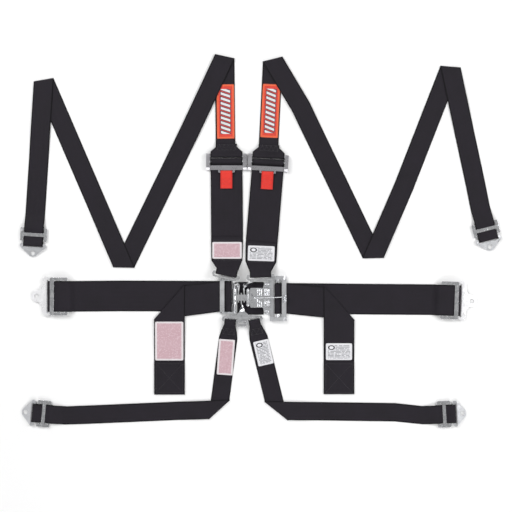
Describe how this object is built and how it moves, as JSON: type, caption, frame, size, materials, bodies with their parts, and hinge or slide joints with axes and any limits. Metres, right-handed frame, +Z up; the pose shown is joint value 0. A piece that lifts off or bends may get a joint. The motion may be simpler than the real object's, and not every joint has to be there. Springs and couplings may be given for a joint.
{
  "type": "racing harness",
  "caption": "Latch-and-link racing harness laid flat: wide shoulder and lap straps, crotch straps, sliding adjusters, a lever latch over a link plate, and steel anchor brackets.",
  "frame": {"origin": "on the surface the harness lies on, under the middle of the link's neck in the buckle", "axes": "+X across the harness to the latch lever's side, +Y up the shoulder straps, +Z up out of the surface"},
  "size_m": [1.1777, 0.9148, 0.0218],
  "materials": {
    "black_webbing": "woven polyester webbing",
    "red_webbing": "woven polyester webbing",
    "warning_label": "printed woven label",
    "maker_label": "printed woven label",
    "shoulder_patch": "embroidered patch",
    "zinc_steel": "zinc plated",
    "chrome": "bright plated"
  },
  "bodies": {
    "buckle": {"buckle_pad": "black_webbing", "latch_base": "zinc_steel", "latch_hinge_pin": "zinc_steel", "rivet_upper": "zinc_steel", "rivet_lower": "zinc_steel", "link_plate": "chrome", "left_tongue": "chrome", "right_tongue": "chrome", "sub_tongue": "chrome", "right_lap_adjuster": "zinc_steel", "right_lap_strap": "black_webbing", "right_lap_label": "maker_label", "right_lap_slide": "chrome"},
    "lever": {"latch_lever": "chrome", "keeper_wire": "chrome"},
    "left_lap": {"left_lap_adjuster": "zinc_steel", "left_lap_strap": "black_webbing", "left_lap_label": "warning_label", "left_lap_slide": "chrome"},
    "left_lap_lock": {"left_lap_locking_bar": "chrome"},
    "right_lap_lock": {"right_lap_locking_bar": "chrome"},
    "left_shoulder": {"left_lower_strap": "black_webbing", "left_lower_label": "warning_label", "left_adjuster": "zinc_steel"},
    "left_lock": {"left_locking_bar": "chrome"},
    "left_tab": {"left_pull_tab": "red_webbing"},
    "left_upper": {"left_transition": "black_webbing", "left_upper_strap": "black_webbing", "left_patch": "shoulder_patch", "left_shoulder_slide": "chrome"},
    "left_sub": {"left_sub_strap": "black_webbing", "left_sub_label": "warning_label", "left_sub_slide": "chrome"},
    "left_shoulder_anchor": {"left_shoulder_bracket": "zinc_steel"},
    "left_lap_anchor": {"left_lap_bracket": "zinc_steel"},
    "left_sub_anchor": {"left_sub_bracket": "zinc_steel"},
    "right_shoulder": {"right_lower_strap": "black_webbing", "right_lower_label": "maker_label", "right_adjuster": "zinc_steel"},
    "right_lock": {"right_locking_bar": "chrome"},
    "right_tab": {"right_pull_tab": "red_webbing"},
    "right_upper": {"right_transition": "black_webbing", "right_upper_strap": "black_webbing", "right_patch": "shoulder_patch", "right_shoulder_slide": "chrome"},
    "right_sub": {"right_sub_strap": "black_webbing", "right_sub_label": "maker_label", "right_sub_slide": "chrome"},
    "right_shoulder_anchor": {"right_shoulder_bracket": "zinc_steel"},
    "right_lap_anchor": {"right_lap_bracket": "zinc_steel"},
    "right_sub_anchor": {"right_sub_bracket": "zinc_steel"}
  },
  "joints": [
    {"name": "latch_hinge", "type": "hinge", "parent": "buckle", "child": "lever", "pos_m": [0.012, 0, 0.013], "axis": [0, -1, 0], "range_deg": [0, 95]},
    {"name": "left_lap_pivot", "type": "hinge", "parent": "buckle", "child": "left_lap", "pos_m": [-0.021, 0.003, 0.0065], "axis": [0, 1, 0], "range_deg": [0, 14]},
    {"name": "left_lap_lock_slide", "type": "slide", "parent": "left_lap", "child": "left_lap_lock", "axis": [1, 0, 0], "range_m": [0, 0.002]},
    {"name": "right_lap_lock_slide", "type": "slide", "parent": "buckle", "child": "right_lap_lock", "axis": [-1, 0, 0], "range_m": [0, 0.002]},
    {"name": "left_shoulder_pivot", "type": "hinge", "parent": "buckle", "child": "left_shoulder", "pos_m": [-0.0405, 0.058, 0.017], "axis": [0.9781, -0.2079, 0], "range_deg": [0, 60]},
    {"name": "left_lock_slide", "type": "slide", "parent": "left_shoulder", "child": "left_lock", "axis": [0, 1, 0], "range_m": [0, 0.002]},
    {"name": "left_tab_hinge", "type": "hinge", "parent": "left_shoulder", "child": "left_tab", "pos_m": [-0.0405, 0.307, 0.00765], "axis": [-1, 0, 0], "range_deg": [0, 100]},
    {"name": "left_upper_pivot", "type": "hinge", "parent": "left_shoulder", "child": "left_upper", "pos_m": [-0.0405, 0.3475, 0.0052], "axis": [1, 0, 0], "range_deg": [0, 75]},
    {"name": "left_sub_pivot", "type": "hinge", "parent": "buckle", "child": "left_sub", "pos_m": [-0.031, -0.0575, 0.008], "axis": [-0.9925, 0.1219, 0], "range_deg": [0, 60]},
    {"name": "left_shoulder_anchor_pivot", "type": "hinge", "parent": "left_upper", "child": "left_shoulder_anchor", "pos_m": [-0.5135, 0.13, 0.0048], "axis": [-0.998, 0.0628, 0], "range_deg": [0, 75]},
    {"name": "left_lap_anchor_pivot", "type": "hinge", "parent": "left_lap", "child": "left_lap_anchor", "pos_m": [-0.473, 0.003, 0.0048], "axis": [0, 1, 0], "range_deg": [0, 75]},
    {"name": "left_sub_anchor_pivot", "type": "hinge", "parent": "left_sub", "child": "left_sub_anchor", "pos_m": [-0.5115, -0.282, 0.0048], "axis": [0.0872, 0.9962, 0], "range_deg": [0, 75]},
    {"name": "right_shoulder_pivot", "type": "hinge", "parent": "buckle", "child": "right_shoulder", "pos_m": [0.043, 0.054, 0.017], "axis": [0.9994, 0.0349, 0], "range_deg": [0, 60]},
    {"name": "right_lock_slide", "type": "slide", "parent": "right_shoulder", "child": "right_lock", "axis": [0.0523, 0.9986, 0], "range_m": [0, 0.002]},
    {"name": "right_tab_hinge", "type": "hinge", "parent": "right_shoulder", "child": "right_tab", "pos_m": [0.06014, 0.30504, 0.00765], "axis": [-0.9986, 0.0523, 0], "range_deg": [0, 100]},
    {"name": "right_upper_pivot", "type": "hinge", "parent": "right_shoulder", "child": "right_upper", "pos_m": [0.06226, 0.34548, 0.0052], "axis": [0.9986, -0.0523, 0], "range_deg": [0, 75]},
    {"name": "right_sub_pivot", "type": "hinge", "parent": "buckle", "child": "right_sub", "pos_m": [0.028, -0.0575, 0.008], "axis": [-0.9781, -0.2079, 0], "range_deg": [0, 60]},
    {"name": "right_shoulder_anchor_pivot", "type": "hinge", "parent": "right_upper", "child": "right_shoulder_anchor", "pos_m": [0.6, 0.144, 0.0048], "axis": [-0.9699, -0.2436, 0], "range_deg": [0, 75]},
    {"name": "right_lap_anchor_pivot", "type": "hinge", "parent": "buckle", "child": "right_lap_anchor", "pos_m": [0.528, -0.0075, 0.0048], "axis": [-0.0349, -0.9994, 0], "range_deg": [0, 75]},
    {"name": "right_sub_anchor_pivot", "type": "hinge", "parent": "right_sub", "child": "right_sub_anchor", "pos_m": [0.5165, -0.284, 0.0048], "axis": [0.0523, -0.9986, 0], "range_deg": [0, 75]}
  ]
}
